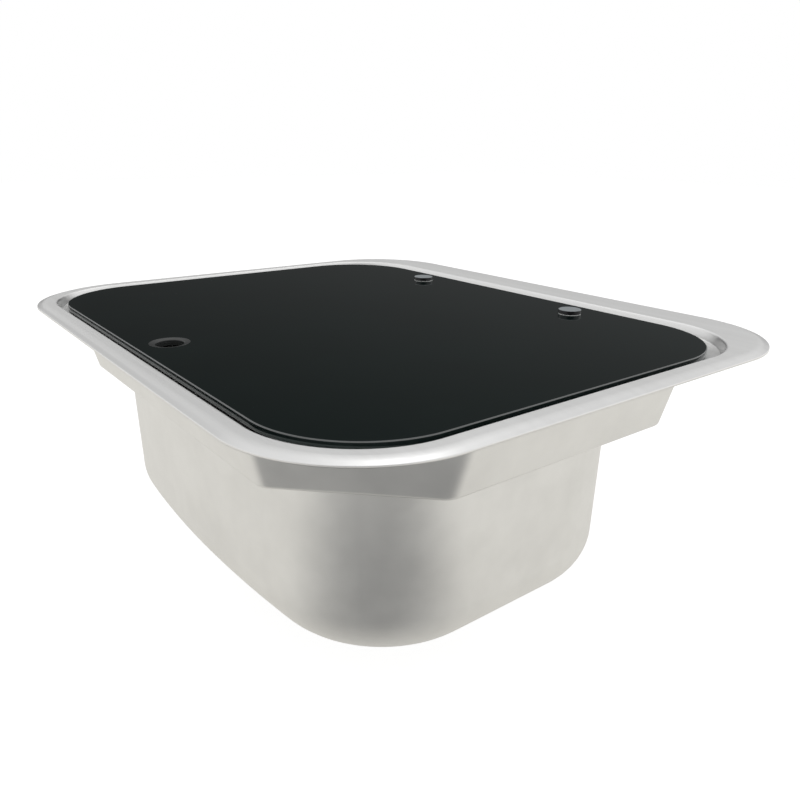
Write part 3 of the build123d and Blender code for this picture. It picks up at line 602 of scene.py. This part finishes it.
nodeFinishes = {
    "blackCap": {
        "dark": (0.022, 0.022, 0.023), "light": (0.032, 0.032, 0.033),
        "patchScale": 90.0, "grainScale": 3000.0, "grainDepth": 0.02, "roughness": (0.3, 0.42),
        "wearers": ["hinge_left_cap", "hinge_right_cap"],
    },
    "paleNylon": {
        "dark": (0.66, 0.67, 0.66), "light": (0.76, 0.77, 0.76),
        "patchScale": 120.0, "grainScale": 2500.0, "grainDepth": 0.02, "roughness": (0.4, 0.55),
        "wearers": [
            "hinge_left_top_washer", "hinge_right_top_washer", "hinge_left_sleeve", "hinge_right_sleeve",
        ],
    },
    "bufferRubber": {
        "dark": (0.035, 0.035, 0.035), "light": (0.055, 0.055, 0.054),
        "patchScale": 150.0, "grainScale": 1800.0, "grainDepth": 0.05, "roughness": (0.6, 0.8),
        "wearers": ["lid_buffers", "hinge_left_pad", "hinge_right_pad"],
    },
    "sealRubber": {
        "dark": (0.04, 0.04, 0.04), "light": (0.065, 0.065, 0.063),
        "patchScale": 70.0, "grainScale": 1500.0, "grainDepth": 0.05, "roughness": (0.55, 0.75),
        "wearers": ["flange_seal", "waste_seal", "tail_washer"],
    },
    "foamSeal": {
        "dark": (0.08, 0.08, 0.08), "light": (0.13, 0.13, 0.125),
        "patchScale": 300.0, "grainScale": 900.0, "grainDepth": 0.4, "bump": 0.8, "roughness": (0.8, 0.95),
        "wearers": ["rim_seal"],
    },
    "hingeSteel": {
        "dark": (0.55, 0.55, 0.54), "light": (0.66, 0.66, 0.65),
        "patchScale": 60.0, "grainScale": 2200.0, "grainDepth": 0.03, "roughness": (0.28, 0.42),
        "metallic": 1.0,
        "wearers": [
            "hinge_left_leaf", "hinge_right_leaf", "hinge_left_bracket", "hinge_right_bracket",
            "hinge_left_pin", "hinge_right_pin",
        ],
    },
    "zincSteel": {
        "dark": (0.56, 0.57, 0.57), "light": (0.7, 0.71, 0.73),
        "patchScale": 200.0, "grainScale": 2600.0, "grainDepth": 0.02, "roughness": (0.2, 0.34),
        "metallic": 1.0,
        "wearers": [
            "hinge_left_nut", "hinge_right_nut", "bracket_screws", "bracket_washers", "bracket_nuts",
        ],
    },
    "polishedSteel": {
        "dark": (0.7, 0.7, 0.69), "light": (0.79, 0.79, 0.78),
        "patchScale": 50.0, "grainScale": 2600.0, "grainDepth": 0.01, "roughness": (0.1, 0.2),
        "metallic": 1.0,
        "wearers": ["strainer", "strainer_screw"],
    },
    "wastePlastic": {
        "dark": (0.62, 0.63, 0.62), "light": (0.71, 0.72, 0.71),
        "patchScale": 45.0, "grainScale": 2000.0, "grainDepth": 0.04, "roughness": (0.42, 0.56),
        "wearers": ["waste_body", "hose_tail"],
    },
    "nutPlastic": {
        "dark": (0.46, 0.47, 0.47), "light": (0.54, 0.55, 0.55),
        "patchScale": 45.0, "grainScale": 2000.0, "grainDepth": 0.04, "roughness": (0.4, 0.55),
        "wearers": ["tail_nut"],
    },
    "plugRubber": {
        "dark": (0.03, 0.03, 0.03), "light": (0.048, 0.048, 0.047),
        "patchScale": 80.0, "grainScale": 1600.0, "grainDepth": 0.05, "roughness": (0.5, 0.7),
        "wearers": ["plug_stopper"],
    },
    "knobPlastic": {
        "dark": (0.035, 0.035, 0.035), "light": (0.05, 0.05, 0.05),
        "patchScale": 80.0, "grainScale": 2600.0, "grainDepth": 0.01, "roughness": (0.14, 0.22),
        "wearers": ["plug_knob"],
    },
}
for finishName, look in nodeFinishes.items():
    finish = plainFinish(finishName, look)
    for wearer in look["wearers"]:
        mesh = cadNodes[wearer].data
        mesh.materials.clear()
        mesh.materials.append(finish)
print("finishes:", len(nodeFinishes))

# floor, light and camera

studio = {
    "floorLevel": -203.0,
    "floorHalf": 6000.0,
    "lowSky": 0.08,
    "lowSkyTilt": 0.07,
    "brightSide": (0.616, 0.788, 0.0),
    "sideSky": 1.0,
    "sideSkyEdge": (0.90, 0.68),
    "awaySide": (0.788, -0.616, 0.0),
    "highSky": 1.0,
    "skyEdge": (0.40, 0.57),
    "floorPaint": 0.3,
    "floorSeen": 0.85,
    "floorGlow": 0.69,
    "darkSpot": (0.347, -0.280),
    "darkSpotEdge": (0.13, 0.37),
    "darkSpotShare": 0.15,
    "floorShine": (1.0, 0.965, 0.89),
    "softboxPower": 1.1,
    "softboxSize": 0.45,
    "softboxTarget": (0.15, -0.12, 0.0),
    "softboxDirection": (-0.46, 0.47, 0.752),
    "softboxDistance": 1.6,
}
photoCamera = {
    "place": (0.391807, -0.281887, 0.109624),
    "azimuth": 51.966,
    "elevation": 19.424,
    "roll": 0.636,
    "lens": 32.643,
}


def seenDirectly(tree):
    # 1 for the camera, and for what metal and glass show; 0 where light only falls on the object
    rays = tree.nodes.new("ShaderNodeLightPath").outputs
    shown = mathNode(tree, "MAXIMUM", rays["Is Camera Ray"], rays["Is Glossy Ray"])
    return rays["Is Camera Ray"], mathNode(tree, "MAXIMUM", shown, rays["Is Transmission Ray"])


def mixShader(tree, share, first, second):
    return addNode(tree, "ShaderNodeMixShader", None, i0=share, i1=first, i2=second).outputs[0]


def emptyTree(owner):
    owner.use_nodes = True
    owner.node_tree.nodes.clear()
    return owner.node_tree


def floorFinish(form):
    # a plain bright ground; metal and glass see it warmer, with a dark spot before the near corner
    material = bpy.data.materials.new("paleFloor")
    tree = emptyTree(material)
    fromCamera, shown = seenDirectly(tree)
    place = tree.nodes.new("ShaderNodeTexCoord").outputs["Object"]
    spot = (*form["darkSpot"], form["floorLevel"] * millimetre)
    distance = {"operation": "DISTANCE"}
    away = addNode(tree, "ShaderNodeVectorMath", distance, i0=place, i1=spot).outputs["Value"]
    clear = smoothStep(tree, away, *form["darkSpotEdge"], form["darkSpotShare"], 1.0)
    glow = mathNode(tree, "MULTIPLY", clear, form["floorGlow"])
    glow = mixNumber(tree, fromCamera, glow, form["floorSeen"])
    strength = mathNode(tree, "MULTIPLY", shown, glow)
    warm = addNode(tree, "ShaderNodeEmission", None, Color=(*form["floorShine"], 1.0), Strength=strength)
    white = addNode(tree, "ShaderNodeEmission", None, Color=(1.0, 1.0, 1.0, 1.0), Strength=strength)
    seen = mixShader(tree, fromCamera, warm.outputs[0], white.outputs[0])
    paint = addNode(tree, "ShaderNodeBsdfDiffuse", None, Color=(*[form["floorPaint"]] * 3, 1.0)).outputs[0]
    total = addNode(tree, "ShaderNodeAddShader", None, i0=seen, i1=paint).outputs[0]
    # from below the floor is clear, so the underside can be seen
    below = tree.nodes.new("ShaderNodeNewGeometry").outputs["Backfacing"]
    clearBelow = tree.nodes.new("ShaderNodeBsdfTransparent").outputs[0]
    total = mixShader(tree, below, total, clearBelow)
    addNode(tree, "ShaderNodeOutputMaterial", None, Surface=total)
    return material


def makeFloor(form):
    half, level = form["floorHalf"], form["floorLevel"]
    mesh = bpy.data.meshes.new("floor")
    square = np.array([(-1, -1, 0), (1, -1, 0), (1, 1, 0), (-1, 1, 0)]) * half + [0, 0, level]
    mesh.from_pydata((square * millimetre).tolist(), [], [(0, 1, 2, 3)])
    mesh.materials.append(floorFinish(form))
    floor = bpy.data.objects.new("floor", mesh)
    scene.collection.objects.link(floor)


def makeSky(form):
    # white where the camera looks, otherwise bright overhead, and near the horizon dim before and behind
    # the object
    world = bpy.data.worlds.new("studioSky")
    scene.world = world
    tree = emptyTree(world)
    fromCamera = tree.nodes.new("ShaderNodeLightPath").outputs["Is Camera Ray"]
    direction = tree.nodes.new("ShaderNodeTexCoord").outputs["Generated"]
    up = addNode(tree, "ShaderNodeSeparateXYZ", None, Vector=direction).outputs["Z"]
    side = dotNode(tree, direction, form["brightSide"])
    low = mathNode(tree, "MULTIPLY_ADD", side, form["lowSkyTilt"], form["lowSky"])
    facing = mathNode(tree, "ABSOLUTE", dotNode(tree, direction, form["awaySide"]))
    beside = smoothStep(tree, facing, *form["sideSkyEdge"][::-1], form["sideSky"], 0.0)
    low = mathNode(tree, "ADD", low, beside)
    level = smoothStep(tree, up, *form["skyEdge"], low, form["highSky"])
    light = addNode(tree, "ShaderNodeBackground", None, Color=(1.0, 1.0, 1.0, 1.0), Strength=level)
    backdrop = addNode(tree, "ShaderNodeBackground", None, Color=(1.0, 1.0, 1.0, 1.0), Strength=1.0)
    mixed = mixShader(tree, fromCamera, light.outputs[0], backdrop.outputs[0])
    addNode(tree, "ShaderNodeOutputWorld", None, Surface=mixed)


def makeSoftbox(form):
    # a square soft lamp at a distance from the target, facing it
    data = bpy.data.lights.new("farSoftbox", "AREA")
    data.shape = "SQUARE"
    data.size = form["softboxSize"]
    data.energy = form["softboxPower"]
    lamp = bpy.data.objects.new("farSoftbox", data)
    scene.collection.objects.link(lamp)
    away = Vector(form["softboxDirection"]).normalized()
    place = Matrix.Translation(Vector(form["softboxTarget"]) + away * form["softboxDistance"])
    lamp.matrix_world = place @ away.to_track_quat("Z", "Y").to_matrix().to_4x4()


def makeCamera(form):
    # looks along its azimuth and elevation, tipped by its roll
    azimuth, elevation, roll = (math.radians(form[key]) for key in ("azimuth", "elevation", "roll"))
    level = math.cos(elevation)
    back = Vector((math.sin(azimuth) * level, -math.cos(azimuth) * level, math.sin(elevation)))
    right = Vector((0, 0, 1)).cross(back).normalized()
    up = back.cross(right)
    rolledRight = math.cos(roll) * right + math.sin(roll) * up
    rolledUp = math.cos(roll) * up - math.sin(roll) * right
    data = bpy.data.cameras.new("photoCamera")
    data.sensor_width = 36.0
    data.lens = form["lens"]
    data.clip_start = 0.01
    data.clip_end = 50.0
    camera = bpy.data.objects.new("photoCamera", data)
    scene.collection.objects.link(camera)
    turn = Matrix((rolledRight, rolledUp, back)).transposed().to_4x4()
    camera.matrix_world = Matrix.Translation(Vector(form["place"])) @ turn
    scene.camera = camera


makeFloor(studio)
makeSky(studio)
makeSoftbox(studio)
makeCamera(photoCamera)
print("studio ready")
